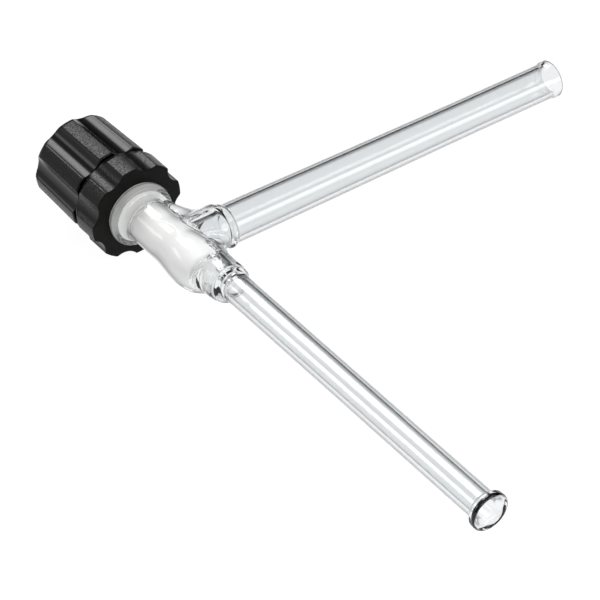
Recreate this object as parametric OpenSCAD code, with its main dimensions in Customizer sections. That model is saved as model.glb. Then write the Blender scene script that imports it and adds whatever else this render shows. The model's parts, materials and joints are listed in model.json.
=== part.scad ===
// Glass stopcock: a blown glass body with two arms, closed by a white plunger
// that a black knob drives through a threaded sleeve. It lies at rest on a flat
// surface, on the edge of its nut and on the lips of its two arms.
// The main axis runs from the knob to the outlet arm. Places on it are measured
// from the side arm's axis: positive towards the outlet, negative to the knob.

/* [Glass barrel] */
// Bore of the barrel, in which the plunger runs
bore_d = 10.1; // [9.6:0.1:10.6]
// Wall of the barrel
barrel_wall = 2.5; // [2.2:0.05:2.8]
// Outside diameter of the barrel's mouth, inside the nut
mouth_od = 21.2; // [20.4:0.1:21.8]
// Wall of the mouth, around the threaded sleeve
mouth_wall = 1.6; // [1.4:0.1:1.8]
// How far the rounded collar stands out from the mouth, below the nut
collar_rise = 0.7; // [0.5:0.1:1]
// Radius of the collar's rounded edge
collar_round = 1.6; // [1.4:0.1:2]
// Distance from the side arm's axis back to the middle of the collar
collar_back = 20.9; // [20:0.1:23]
// Radius of the fillet between collar and barrel
collar_fillet = 2.2; // [1.8:0.1:2.6]
// Length of the mouth behind the middle of the collar
mouth_len = 8.3; // [8:0.1:10]
// Length of the cone from the mouth's bore down to the barrel's bore
mouth_cone_len = 5; // [4.5:0.1:5.5]
// Height of the swelling around the plunger's seat
swell_h = 1.1; // [0.8:0.1:1.6]
// Distance from the side arm's axis to the crest of that swelling
swell_x = 9; // [8:0.1:10]
// Length over which the barrel swells out to the crest
swell_rise = 13; // [10:0.5:15]
// Length over which the barrel closes behind the crest
swell_fall = 10; // [9:0.5:11]

/* [Seat, chamber and neck] */
// Distance from the side arm's axis to the start of the seat
seat_x = 13.6; // [13:0.1:15]
// Length of the seat's cone
seat_len = 1.4; // [1:0.1:1.8]
// Diameter of the hole below the seat
seat_hole_d = 8.8; // [8:0.1:9.2]
// Length of the ring of glass around that hole
seat_ring_len = 1.4; // [1:0.1:2]
// Width of the chamber's hollow, beside the barrel
chamber_id = 6; // [5.6:0.1:6.4]
// Wall of the chamber
chamber_wall = 1.7; // [1.5:0.1:2]
// How far the chamber's middle lies towards the side arm
chamber_offset = 6; // [5.7:0.1:6.3]
// Glass left between the bore and the chamber
port_wall = 1.2; // [0.9:0.1:1.5]
// Diameter of the port from the bore into the chamber
port_d = 5.6; // [5:0.1:5.8]
// Distance from the side arm's axis to the middle of the port
port_x = 9; // [8.6:0.1:9.4]
// Length of the chamber's hollow towards the knob
chamber_back = 11; // [9:0.5:12]
// Bore of the neck below the seat
neck_bore_d = 10.2; // [9.6:0.1:10.6]
// Wall of the neck
neck_wall = 2; // [1.7:0.1:2.2]
// How far the neck's middle lies towards the side arm
neck_offset = 2.6; // [2.2:0.1:3]
// Distance from the side arm's axis to the end of the neck
neck_end = 22.5; // [21.5:0.5:25]
// Length of the shoulder from the neck to the outlet arm
shoulder_len = 5; // [4.5:0.5:7]
// Distance from the end of the neck to the bend in the shoulder
shoulder_bend = 3.2; // [2.8:0.1:4]
// Outside diameter of the glass at that bend
shoulder_bend_od = 13; // [12.4:0.1:13.4]

/* [Outlet arm] */
// Outside diameter of the outlet arm
arm_od = 10; // [9.5:0.1:10.6]
// Wall of the outlet arm
arm_wall = 1.4; // [1.1:0.1:1.7]
// Distance from the side arm's axis to the end of the outlet arm
arm_len = 154; // [120:0.5:180]
// How far the arm's middle lies towards the side arm
arm_offset = 3.5; // [3:0.1:4]
// How far the lip at the arm's end stands out
arm_lip_rise = 1.6; // [0.9:0.1:1.6]

/* [Side arm] */
// Outside diameter of the stub that joins the side arm to the body
stub_od = 15.2; // [14.4:0.1:15.6]
// How far the stub's middle lies towards the knob
stub_offset = 1.1; // [0.6:0.1:1.3]
// Distance from the main axis to the weld between stub and side arm
weld_y = 18; // [17:0.5:21]
// How far the bead at that weld stands out from the side arm
weld_rise = 0.7; // [0.5:0.1:1.2]
// Outside diameter of the side arm at the weld
side_od = 13.6; // [13:0.1:14]
// Outside diameter of the side arm's parallel outer length
side_end_od = 12.4; // [11.8:0.1:12.9]
// Length of that parallel outer length
side_end_len = 30; // [20:1:60]
// How far the web of glass in the corner runs from the stub towards the knob
web_len = 8.2; // [6:0.1:8.4]
// How far the web rises from the chamber along the stub
web_rise = 2.8; // [2:0.1:3.4]
// Wall of the side arm
side_wall = 1.5; // [1.2:0.1:1.8]
// Distance from the main axis to the end of the side arm
side_len = 153; // [120:0.5:180]
// How far the lip at the side arm's end stands out
side_lip_rise = 0.4; // [0.2:0.05:0.9]

/* [Arm lips] */
// Length of the lip along the arm
lip_len = 2.6; // [2.6:0.1:4]
// Radius of the lip's rounded front
lip_round = 0.6; // [0.6:0.1:1]
// Length over which the arm swells out to its lip
lip_swell_len = 1.2; // [1:0.1:3]
// Depth of the flared mouth in each arm
flare_depth = 2.5; // [2.5:0.1:5]

/* [Nut] */
// Diameter of the nut across its lands
nut_od = 34; // [33.4:0.1:35]
// Chamfer around the nut's front face
nut_chamfer = 0.5; // [0.3:0.1:0.8]
// Thickness of the nut's rear wall
nut_wall = 2; // [1.6:0.1:2.6]
// Length of the nut's sloping shoulder, next to the knob
nut_shoulder_len = 2.2; // [1.6:0.1:3]
// How far the nut narrows over that shoulder, on the radius
nut_shoulder_h = 1.1; // [0.8:0.1:1.6]
// Turn of the nut's lands about the main axis
nut_turn = 97; // [90:1:135]
// Angle that each scallop of the nut takes up
nut_scallop = 26; // [22:0.5:28]

/* [Knob] */
// Diameter of the knob across its lands, next to the nut
knob_od = 33.4; // [32:0.1:34]
// Diameter of the knob across its lands, at the far end
knob_end_od = 31.9; // [30:0.1:32.4]
// Length of the knob
knob_len = 24.7; // [23:0.1:27]
// Radius around the knob's far edge
knob_round = 2.4; // [1.6:0.1:3]
// Turn of the knob's lands about the main axis
knob_turn = 101; // [90:1:135]
// Angle that each scallop of the knob takes up
knob_scallop = 28; // [24:0.5:30]
// Radius of the scallops in knob and nut
scallop_round = 6.2; // [5.6:0.1:8]
// Number of scallops around knob and nut
scallops = 8; // [8:1:9]
// Diameter of the hollow in the knob
knob_hollow_d = 24; // [22:0.5:25]
// Thickness of the web that carries the drive screw
web_t = 4; // [3.5:0.1:5]
// Diameter of the boss around the drive screw
web_boss_d = 13; // [11:0.5:16]
// Height of that boss above the floor of the hollow
web_boss_h = 1.5; // [1:0.1:2]

/* [Knob fixing] */
// Diameter of the cap in the knob's far end
cap_d = 18; // [14:0.5:20]
// Thickness of the cap
cap_t = 1.2; // [1:0.1:1.6]
// Nominal diameter of the knob's screw
screw_d = 4; // [3:0.5:4]
// Diameter of the screw's head
screw_head_d = 7; // [6:0.5:8]
// Height of the screw's head
screw_head_h = 2.2; // [2:0.1:2.6]
// Depth to which the screw enters the drive screw
screw_grip = 7; // [5:0.5:9]
// Width of the screw's driving slot
screw_slot_w = 1; // [0.8:0.1:1.2]
// Depth of the screw's driving slot
screw_slot_h = 1.1; // [0.8:0.1:1.3]
// Diameter of the washer below the screw's head
washer_d = 9.2; // [8.6:0.1:10]
// Thickness of that washer
washer_t = 0.6; // [0.5:0.1:1]

/* [Plunger] */
// Length of the plunger
plunger_len = 39.8; // [39:0.1:42]
// Distance that the plunger rises from shut to open
travel = 10.5; // [8:0.5:12]
// Length of the taper at the plunger's tip
tip_len = 0.8; // [0.5:0.1:1.2]
// How far that taper narrows the tip, on the radius
tip_taper = 0.7; // [0.4:0.1:1]
// Diameter of the socket in the plunger's top
socket_d = 7.6; // [7.2:0.1:7.8]
// Length of the split retainer in that socket
retainer_len = 4; // [3:0.1:5]
// Thickness of the thrust washer in that socket
thrust_t = 0.6; // [0.4:0.1:1]

/* [Drive screw] */
// Diameter of the drive screw's thread
thread_d = 9; // [8:0.1:9.4]
// Diameter of the shank that enters the plunger
shank_d = 5; // [4:0.1:5.4]
// Diameter of the flange that turns in the plunger
swivel_d = 7.2; // [6.8:0.1:7.3]
// Thickness of that flange
swivel_t = 1.8; // [1.4:0.1:2.4]
// Width across the flats of the drive in the knob
drive_af = 6.4; // [5.6:0.1:7]

/* [Threaded sleeve and seals] */
// Diameter of the sleeve above the nut
sleeve_od = 16; // [15:0.1:17]
// Thickness of the sleeve's flange
sleeve_flange_t = 1.6; // [1.2:0.1:2.2]
// Free length of the sleeve's bore above the open plunger
over_travel = 3; // [2:0.1:4]
// Distance from the start of the barrel's bore back to the sleeve's nose
nose_back = 0.9; // [0.8:0.1:1.5]
// Thickness of the flat gasket on the glass mouth
gasket_t = 0.8; // [0.6:0.1:1]
// Thickness of the slip washer below the nut's rear wall
slip_t = 0.6; // [0.4:0.1:1]
// Section of the two seals around the plunger
rod_ring_t = 1.6; // [1.4:0.1:1.8]
// Distance from the sleeve's nose to the front seal
rod_ring_back = 3; // [2.8:0.1:3.4]
// Spacing of the two seals
rod_ring_pitch = 3; // [2.6:0.1:3.4]
// Section of the seal around the sleeve
mouth_ring_t = 1.8; // [1.4:0.1:2]
// Distance from the glass mouth to that seal
mouth_ring_in = 3.2; // [2.6:0.1:4]

/* [Clearances] */
// Gap around the plunger
plunger_gap = 0.05; // [0.03:0.01:0.1]
// Gap around the sleeve and the nut on the glass
glass_gap = 0.1; // [0.06:0.01:0.2]
// Gap between the pieces that turn on each other
turn_gap = 0.05; // [0.03:0.01:0.1]
// Gap around the seals
seal_gap = 0.02; // [0.01:0.01:0.04]
// Gap between knob and nut
knob_gap = 0.6; // [0.4:0.1:1]
// Gap between the sleeve's end and the knob's web
sleeve_end_gap = 1; // [0.6:0.1:1.5]
// Room around and above the screw's head
end_gap = 0.5; // [0.4:0.1:1]

/* [Hidden] */
$fn = 96;
// How far a cut runs past the face that it opens
over = 1;
// Number of points along a quarter turn, and along the swelling
arc_steps = 6;
swell_steps = 12;
// Thickness of the thin discs that the webs of glass are stretched over, and how
// far they lie inside the tubes
disc_t = 0.6;
disc_inset = 0.1;
// How far the port runs into the chamber's hollow, past the barrel's wall
port_past = 0.4;
// Wall of the ring of glass at the barrel's closed end
seat_ring_wall = 0.1;

// Barrel, from the mouth to the seat
bore_r = bore_d / 2;
barrel_r = bore_r + barrel_wall;
collar_x = -collar_back;
mouth_r = mouth_od / 2;
mouth_bore_r = mouth_r - mouth_wall;
collar_r = mouth_r + collar_rise - collar_round;
mouth_x = collar_x - mouth_len;
fillet_x = collar_x + collar_round + collar_fillet;
bore_start = fillet_x;
cone_start = bore_start - mouth_cone_len;
seat_end = seat_x + seat_len;
seat_hole_r = seat_hole_d / 2;
swell_r = barrel_r + swell_h;
barrel_end_r = seat_hole_r + seat_ring_wall;
neck_hollow_x = seat_end + seat_ring_len;

// Neck, arms and their lips
chamber_hollow_r = chamber_id / 2;
chamber_r = chamber_hollow_r + chamber_wall;
side_hollow_y = chamber_offset + port_wall / 2;
port_end_y = bore_r + port_wall + port_past;
neck_bore_r = neck_bore_d / 2;
neck_r = neck_bore_r + neck_wall;
arm_r = arm_od / 2;
arm_bore_r = arm_r - arm_wall;
shoulder_end = neck_end + shoulder_len;
stub_r = stub_od / 2;
side_r = side_od / 2;
side_end_r = side_end_od / 2;
side_bore_r = side_end_r - side_wall;
side_taper_end = side_len - side_end_len;
arm_lip_r = arm_r + arm_lip_rise;
side_lip_r = side_end_r + side_lip_rise;

// Stack inside the nut, from the glass mouth back to the knob
nut_front = collar_x - collar_round - glass_gap;
flange_front = mouth_x - gasket_t;
flange_back = flange_front - sleeve_flange_t;
slip_back = flange_back - slip_t;
nut_back = slip_back - nut_wall;
nut_r = nut_od / 2;
nut_shoulder_r = nut_r - nut_shoulder_h;
knob_front = nut_back - knob_gap;
knob_back = knob_front - knob_len;

// Knob's web and fixing
knob_r = knob_od / 2;
knob_end_r = knob_end_od / 2;
cap_front = knob_back + cap_t;
screw_seat = cap_front + end_gap + screw_head_h + washer_t;
web_front = screw_seat + web_t;
hollow_floor = web_front - web_boss_h;
drive_r = drive_af / 2 / cos(30);
screw_bore_r = washer_d / 2 + end_gap;

// Plunger and drive
plunger_r = bore_r - plunger_gap;
plunger_tip = seat_end + tip_len;
plunger_top = plunger_tip - plunger_len;
socket_r = socket_d / 2;
swivel_back = plunger_top + retainer_len + turn_gap;
swivel_front = swivel_back + swivel_t;
thrust_back = swivel_front + turn_gap;
socket_end = thrust_back + thrust_t;
thread_r = thread_d / 2;
thrust_bore_r = thread_r / 2;
thread_front = plunger_top - travel - over_travel;
sleeve_back = web_front + sleeve_end_gap;

// Sleeve and seals
sleeve_r = sleeve_od / 2;
sleeve_nose = bore_start - nose_back;
rod_ring_front_x = sleeve_nose - rod_ring_back;
rod_ring_rear_x = rod_ring_front_x - rod_ring_pitch;
rod_ring_r = plunger_r + seal_gap + rod_ring_t / 2;
mouth_ring_x = mouth_x + mouth_ring_in;
mouth_ring_r = mouth_bore_r - seal_gap - mouth_ring_t / 2;
groove_extra = 0.1;

// Resting pose: the turns that bring the nut and both lips down to one level
nut_edge_x = nut_front - nut_chamfer;
arm_lip_x = arm_len - lip_round;
side_lip_y = side_len - lip_round;
arm_drop = nut_r - arm_lip_r;
side_drop = nut_r - side_lip_r;
pose_det = (arm_lip_x - nut_edge_x) * side_lip_y + arm_offset * nut_edge_x;
pitch_slope = (arm_drop * side_lip_y - arm_offset * side_drop) / pose_det;
roll_slope = ((arm_lip_x - nut_edge_x) * side_drop + nut_edge_x * arm_drop) / pose_det;
pitch = atan(pitch_slope);
roll = asin(roll_slope);

// Directions of the resting pose as seen from the body, and the body's reach in them
x_dir = [cos(pitch), -sin(roll) * sin(pitch), cos(roll) * sin(pitch)];
y_dir = [0, cos(roll), sin(roll)];
down_dir = [sin(pitch), sin(roll) * cos(pitch), -cos(roll) * cos(pitch)];
function reach(centre, axis, r, edge, dir) = centre * dir + r * norm(cross(axis, dir)) + edge;
main_axis = [1, 0, 0];
side_axis = [0, 1, 0];
knob_edge = [knob_back + knob_round, 0, 0];
reach_front = reach([arm_lip_x, arm_offset, 0], main_axis, arm_lip_r - lip_round, lip_round, x_dir);
reach_back = reach(knob_edge, main_axis, knob_end_r - knob_round, knob_round, -x_dir);
reach_far = reach([0, side_lip_y, 0], side_axis, side_lip_r - lip_round, lip_round, y_dir);
reach_near = nut_r;
reach_down = reach([nut_edge_x, 0, 0], main_axis, nut_r, 0, down_dir);
pose_shift = [(reach_back - reach_front) / 2, (reach_near - reach_far) / 2, reach_down];

// Points on an arc about [r, x], from one angle to another
function arc(r, x, round, from, to) =
    [for (i = [0 : arc_steps]) let (a = from + (to - from) * i / arc_steps)
        [r + round * cos(a), x + round * sin(a)]];

// Outline of an arm's end with its lip, and of the flared mouth inside it
function lip_outline(to, r, r_lip) = concat(
    [[r, to - lip_len - lip_swell_len], [r_lip, to - lip_len]],
    arc(r_lip - lip_round, to - lip_round, lip_round, 0, 90),
    [[0, to]]);
function flare_outline(to, r, r_lip) = [[r, to - flare_depth],
    [r_lip - 2 * lip_round, to - lip_round], [r_lip - 2 * lip_round, to + over], [0, to + over]];

// Distance of a scallop's middle from the axis, for a piece of radius r
function scallop_reach(r, angle) =
    r * cos(angle / 2) + sqrt(pow(scallop_round, 2) - pow(r * sin(angle / 2), 2));

module rest_pose() translate(pose_shift) rotate([-roll, pitch, 0]) children();
module along_main(offset = 0) translate([0, offset, 0]) rotate([0, 90, 0]) children();
module along_side() rotate([-90, 0, 0]) children();

// A piece turned about its axis, from an outline of [radius, place] points
module turned(outline) rotate_extrude() polygon(outline);

// A round bar from one place on the axis to another
module bar(from, to, r, r_end) {
    translate([0, 0, from]) cylinder(r1 = r, r2 = is_undef(r_end) ? r : r_end, h = to - from);
}

// A flat ring
module ring(from, to, r_out, r_in) {
    difference() {
        bar(from, to, r_out);
        bar(from - over, to + over, r_in);
    }
}

// A round seal
module o_ring(x, r, section) {
    translate([0, 0, x]) rotate_extrude() translate([r, 0]) circle(d = section, $fn = 32);
}

// Scallops cut into a drafted grip, from one place on the axis to another
module scallop_cuts(from, to, r_from, r_to, angle, turn) {
    near = scallop_reach(r_from, angle);
    far = scallop_reach(r_to, angle);
    lean = atan((far - near) / (to - from));
    for (i = [0 : scallops - 1])
        rotate([0, 0, turn + 90 + (i + 0.5) * 360 / scallops])
            translate([near, 0, from])
                rotate([0, lean, 0])
                    translate([0, 0, -over])
                        cylinder(r = scallop_round, h = to - from + 2 * over);
}

// Barrel with its mouth, collar and swelling
module barrel_outside() {
    mouth_edge = acos((collar_round - collar_rise) / collar_round);
    turned(concat(
        [[0, mouth_x], [mouth_r, mouth_x]],
        arc(collar_r, collar_x, collar_round, -mouth_edge, 90),
        arc(barrel_r + collar_fillet, fillet_x, collar_fillet, -90, -180),
        [for (i = [0 : swell_steps]) let (a = 90 * i / swell_steps)
            [barrel_r + swell_h * pow(sin(a), 2), swell_x - swell_rise * (1 - a / 90)]],
        [for (i = [1 : swell_steps]) let (a = 90 * i / swell_steps)
            [barrel_end_r + (swell_r - barrel_end_r) * cos(a), swell_x + swell_fall * sin(a)]],
        [[0, swell_x + swell_fall]]));
}

// Hollow of the barrel: the sleeve's mouth, its cone, the bore and the seat
module barrel_hollow() {
    turned([[0, mouth_x - over], [mouth_bore_r, mouth_x - over], [mouth_bore_r, cone_start],
        [bore_r, bore_start], [bore_r, seat_x], [seat_hole_r, seat_end],
        [seat_hole_r, neck_hollow_x + over], [0, neck_hollow_x + over]]);
}

module outlet_arm_outside() {
    turned(concat([[0, neck_end], [arm_r, neck_end]], lip_outline(arm_len, arm_r, arm_lip_r)));
}

module outlet_arm_hollow() {
    turned(concat([[0, neck_end - over], [arm_bore_r, neck_end - over]],
        flare_outline(arm_len, arm_bore_r, arm_lip_r)));
}

// Ring of glass at the weld between stub and side arm
module weld_bead() {
    translate([0, 0, weld_y])
        rotate_extrude()
            intersection() {
                translate([side_r - lip_round, 0]) circle(r = weld_rise + lip_round);
                translate([0, -stub_r]) square([side_od, stub_od]);
            }
}

module side_arm_outside() {
    translate([-stub_offset, 0, 0]) along_side() bar(0, weld_y, stub_r);
    along_side() {
        weld_bead();
        turned(concat([[0, weld_y - over], [side_r, weld_y - over], [side_r, weld_y],
            [side_end_r, side_taper_end]], lip_outline(side_len, side_end_r, side_lip_r)));
    }
}

module side_arm_hollow() {
    along_side()
        turned(concat([[0, side_hollow_y], [side_r - side_wall, side_hollow_y],
            [side_r - side_wall, weld_y], [side_bore_r, side_taper_end]],
            flare_outline(side_len, side_bore_r, side_lip_r)));
}

// Web of glass in the corner between the chamber and the stub, towards the knob
module corner_web() {
    back_x = -stub_offset - stub_r - web_len;
    out_y = chamber_offset + chamber_r + web_rise;
    hull() {
        along_main(chamber_offset)
            bar(back_x - disc_t, back_x, chamber_r - disc_inset, $fn = 32);
        translate([-stub_offset, 0, 0])
            along_side()
                bar(out_y - disc_t, out_y, stub_r - disc_inset, $fn = 32);
    }
}

// Shoulder between the neck and the outlet arm
module shoulder() {
    bend_x = neck_end + shoulder_bend;
    hull() {
        along_main(neck_offset)
            bar(neck_end - disc_t, neck_end, neck_r - disc_inset, $fn = 32);
        along_main((neck_offset + arm_offset) / 2)
            bar(bend_x - disc_t, bend_x, shoulder_bend_od / 2, $fn = 32);
        along_main(arm_offset)
            bar(shoulder_end, shoulder_end + disc_t, arm_r - disc_inset, $fn = 32);
    }
}

// Hollow of the chamber beside the bore, and the port between the two
module chamber_hollow() {
    hollow_front = seat_x - chamber_hollow_r;
    difference() {
        along_main(chamber_offset) {
            bar(-chamber_back, hollow_front, chamber_hollow_r);
            translate([0, 0, -chamber_back]) sphere(r = chamber_hollow_r);
            translate([0, 0, hollow_front]) sphere(r = chamber_hollow_r);
        }
        along_main() bar(-chamber_back - chamber_id, seat_end, bore_r + port_wall);
    }
    translate([port_x, 0, 0]) along_side() bar(0, port_end_y, port_d / 2);
}

module neck_hollow() {
    round = neck_bore_r - arm_bore_r;
    along_main(neck_offset)
        turned(concat(
            [[0, neck_hollow_x], [neck_bore_r, neck_hollow_x]],
            arc(arm_bore_r, neck_end, round, 0, 90),
            [[0, neck_end + round]]));
}

module glass_body() {
    rest_pose() color([0.85, 0.9, 0.92, 0.5]) difference() {
        union() {
            along_main() barrel_outside();
            along_main(chamber_offset) bar(collar_x, seat_end, chamber_r);
            along_main(neck_offset) bar(seat_x, neck_end, neck_r);
            along_main(arm_offset) outlet_arm_outside();
            shoulder();
            side_arm_outside();
            corner_web();
        }
        along_main() barrel_hollow();
        chamber_hollow();
        neck_hollow();
        along_main(arm_offset) outlet_arm_hollow();
        side_arm_hollow();
    }
}

module retaining_nut() {
    rest_pose() color([0.07, 0.07, 0.07]) along_main() difference() {
        turned([[0, nut_front], [nut_r - nut_chamfer, nut_front], [nut_r, nut_edge_x],
            [nut_r, nut_back + nut_shoulder_len], [nut_shoulder_r, nut_back], [0, nut_back]]);
        scallop_cuts(nut_back, nut_front, nut_r, nut_r, nut_scallop, nut_turn);
        bar(slip_back, nut_front + over, mouth_r + glass_gap);
        bar(nut_back - over, slip_back + over, sleeve_r + glass_gap);
    }
}

module slip_washer() {
    rest_pose() color([0.9, 0.9, 0.88]) along_main()
        ring(slip_back, flange_back, mouth_r, sleeve_r + glass_gap);
}

module threaded_sleeve() {
    cone_back = cone_start - glass_gap;
    cone_slope = (mouth_bore_r - bore_r) / mouth_cone_len;
    nose_r = bore_r - glass_gap + (bore_start - glass_gap - sleeve_nose) * cone_slope;
    spigot_r = mouth_bore_r - glass_gap;
    rest_pose() color([0.95, 0.95, 0.93]) along_main() difference() {
        turned([[0, sleeve_back], [sleeve_r, sleeve_back], [sleeve_r, flange_back],
            [mouth_r, flange_back], [mouth_r, flange_front], [spigot_r, flange_front],
            [spigot_r, cone_back], [nose_r, sleeve_nose], [0, sleeve_nose]]);
        bar(sleeve_back - over, thread_front + over, thread_r + turn_gap);
        bar(thread_front, sleeve_nose + over, bore_r);
        for (x = [rod_ring_front_x, rod_ring_rear_x])
            bar(x - rod_ring_t / 2 - groove_extra, x + rod_ring_t / 2 + groove_extra,
                plunger_r + seal_gap + rod_ring_t);
        ring(mouth_ring_x - mouth_ring_t / 2 - groove_extra, mouth_ring_x + mouth_ring_t / 2 + groove_extra,
            mouth_bore_r + over, mouth_bore_r - seal_gap - mouth_ring_t);
    }
}

module mouth_gasket() {
    rest_pose() color([0.88, 0.89, 0.88]) along_main()
        ring(flange_front, mouth_x, mouth_r, mouth_bore_r);
}

module mouth_o_ring() {
    rest_pose() color([0.88, 0.89, 0.88]) along_main() o_ring(mouth_ring_x, mouth_ring_r, mouth_ring_t);
}

module rod_o_ring_front() {
    rest_pose() color([0.15, 0.15, 0.15]) along_main() o_ring(rod_ring_front_x, rod_ring_r, rod_ring_t);
}

module rod_o_ring_rear() {
    rest_pose() color([0.15, 0.15, 0.15]) along_main() o_ring(rod_ring_rear_x, rod_ring_r, rod_ring_t);
}

module plunger() {
    nose_r = seat_hole_r - plunger_gap;
    rest_pose() color([0.97, 0.97, 0.96]) along_main() difference() {
        turned([[0, plunger_top], [plunger_r, plunger_top], [plunger_r, seat_x - plunger_gap],
            [nose_r, seat_end - plunger_gap], [nose_r, seat_end],
            [nose_r - tip_taper, plunger_tip], [0, plunger_tip]]);
        bar(plunger_top - over, socket_end, socket_r);
    }
}

module thrust_washer() {
    rest_pose() color([0.75, 0.76, 0.78]) along_main()
        ring(thrust_back, socket_end, socket_r - turn_gap, thrust_bore_r);
}

// One half of the split retainer that keeps the drive screw in the plunger
module retainer_half(turn) {
    rest_pose() color([0.9, 0.9, 0.88]) along_main() rotate([0, 0, turn]) intersection() {
        ring(plunger_top, plunger_top + retainer_len, socket_r, shank_d / 2 + turn_gap);
        translate([turn_gap, -socket_r - over, plunger_top - over])
            cube([socket_r + over, 2 * (socket_r + over), retainer_len + 2 * over]);
    }
}

module retainer_half_upper() {
    retainer_half(180);
}

module retainer_half_lower() {
    retainer_half(0);
}

module drive_screw() {
    rest_pose() color([0.75, 0.76, 0.78]) along_main() difference() {
        union() {
            bar(screw_seat + end_gap, web_front + over, drive_r, $fn = 6);
            bar(web_front, thread_front + travel, thread_r);
            bar(thread_front + travel - over, swivel_front, shank_d / 2);
            bar(swivel_back, swivel_front, swivel_d / 2);
        }
        bar(screw_seat - over, screw_seat + screw_grip + end_gap, screw_d / 2);
    }
}

module knob() {
    rest_pose() color([0.07, 0.07, 0.07]) along_main() difference() {
        turned(concat(
            [[0, knob_front], [knob_r, knob_front]],
            arc(knob_end_r - knob_round, knob_back + knob_round, knob_round, 0, -90),
            [[0, knob_back]]));
        scallop_cuts(knob_back, knob_front, knob_end_r, knob_r, knob_scallop, knob_turn);
        difference() {
            bar(hollow_floor, knob_front + over, knob_hollow_d / 2);
            bar(hollow_floor - over, web_front, web_boss_d / 2);
        }
        bar(knob_back - over, cap_front, cap_d / 2);
        bar(knob_back - over, screw_seat, screw_bore_r);
        bar(knob_back - over, web_front + over, drive_r + turn_gap, $fn = 6);
    }
}

module knob_washer() {
    rest_pose() color([0.75, 0.76, 0.78]) along_main()
        ring(screw_seat - washer_t, screw_seat, washer_d / 2, screw_d / 2 + turn_gap);
}

module knob_screw() {
    head_back = screw_seat - washer_t - screw_head_h;
    rest_pose() color([0.75, 0.76, 0.78]) along_main() difference() {
        union() {
            bar(head_back, screw_seat - washer_t, screw_head_d / 2);
            bar(screw_seat - washer_t - over, screw_seat + screw_grip, screw_d / 2);
        }
        translate([-screw_head_d, -screw_slot_w / 2, head_back - over])
            cube([2 * screw_head_d, screw_slot_w, screw_slot_h + over]);
    }
}

module knob_cap() {
    rest_pose() color([0.07, 0.07, 0.07]) along_main() bar(knob_back, cap_front, cap_d / 2);
}

glass_body();
retaining_nut();
slip_washer();
threaded_sleeve();
mouth_gasket();
mouth_o_ring();
rod_o_ring_front();
rod_o_ring_rear();
plunger();
thrust_washer();
retainer_half_upper();
retainer_half_lower();
drive_screw();
knob();
knob_washer();
knob_screw();
knob_cap();
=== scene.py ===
"""Dresses the glass stopcock: blown glass, turned white plunger and sleeve, moulded black grips.

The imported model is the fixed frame. Pieces are built in millimetres in the body's own axes
(x from the knob to the outlet arm, y along the side arm, z square to both, from the point where
the side arm's axis meets the main axis), and are then carried into the frame.
"""

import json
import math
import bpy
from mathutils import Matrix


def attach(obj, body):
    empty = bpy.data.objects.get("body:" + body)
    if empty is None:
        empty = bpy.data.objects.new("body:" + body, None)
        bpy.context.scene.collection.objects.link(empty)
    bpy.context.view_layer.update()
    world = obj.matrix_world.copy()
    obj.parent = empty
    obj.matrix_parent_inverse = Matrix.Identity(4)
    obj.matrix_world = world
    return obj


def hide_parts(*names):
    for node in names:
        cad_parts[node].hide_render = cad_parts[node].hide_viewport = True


bl_info = {
    "name": "Glass stopcock",
    "version": (1, 0, 0),
    "blender": (4, 5, 0),
    "location": "3D View > Sidebar > Stopcock",
    "description": "Builds the glass, grips, plunger and stage of a glass stopcock",
    "category": "Object",
}

import bpy
import numpy as np
from bpy.props import FloatProperty, FloatVectorProperty, IntProperty, PointerProperty
from mathutils import Matrix, Vector
from mathutils.geometry import intersect_line_line

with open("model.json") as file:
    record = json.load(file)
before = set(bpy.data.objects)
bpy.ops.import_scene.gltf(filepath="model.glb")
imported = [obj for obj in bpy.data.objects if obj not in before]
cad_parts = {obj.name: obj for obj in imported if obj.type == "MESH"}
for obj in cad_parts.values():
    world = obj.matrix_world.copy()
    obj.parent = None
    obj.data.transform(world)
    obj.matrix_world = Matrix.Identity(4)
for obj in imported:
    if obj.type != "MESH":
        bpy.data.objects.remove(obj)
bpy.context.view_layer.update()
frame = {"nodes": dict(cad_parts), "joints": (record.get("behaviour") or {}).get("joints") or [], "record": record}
MM = 0.001


# ---------------------------------------------------------------- axes and meshes


def body_axes():
    """The body's axes as columns, and the point where its two axes meet, in the frame's metres."""
    turn = next(j for j in frame["joints"] if j["name"] == "knob_turn")
    side = next(m for m in frame["record"]["mounts"] if m["name"] == "side_lip")
    along = -Vector(turn["axis"]).normalized()
    out = Vector(side["axis"]).normalized()
    on_main, on_side = Vector(turn["pos_m"]), Vector(side["pos_m"])
    meet = intersect_line_line(on_main, on_main + along, on_side, on_side + out)[0]
    return np.array(Matrix((along, out, along.cross(out))).transposed()), np.array(meet)


AXES, ORIGIN = body_axes()


def into_frame(points):
    """Points in millimetres in the body's axes, as metres in the frame."""
    return np.asarray(points, float) * MM @ AXES.T + ORIGIN


def make_piece(name, points, faces, body, materials, replaced=(), face_materials=None, normals=None):
    """A piece of the stopcock that rides on a body and stands for the named CAD nodes."""
    mesh = bpy.data.meshes.new(name)
    mesh.from_pydata(into_frame(points).tolist(), [], [list(map(int, f)) for f in faces])
    for material in materials:
        mesh.materials.append(material)
    if face_materials is not None:
        mesh.polygons.foreach_set("material_index", np.asarray(face_materials, np.int32))
    mesh.validate()
    mesh.shade_smooth()
    if normals is not None:
        mesh.normals_split_custom_set_from_vertices((normals @ AXES.T).tolist())
    piece = bpy.data.objects.new(name, mesh)
    bpy.context.scene.collection.objects.link(piece)
    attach(piece, body)
    if replaced:
        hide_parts(*replaced)
    return piece


# ---------------------------------------------------------------- turned pieces

# radius at which an open outline starts and ends, next to the axis
ON_AXIS = 0.01


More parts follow.
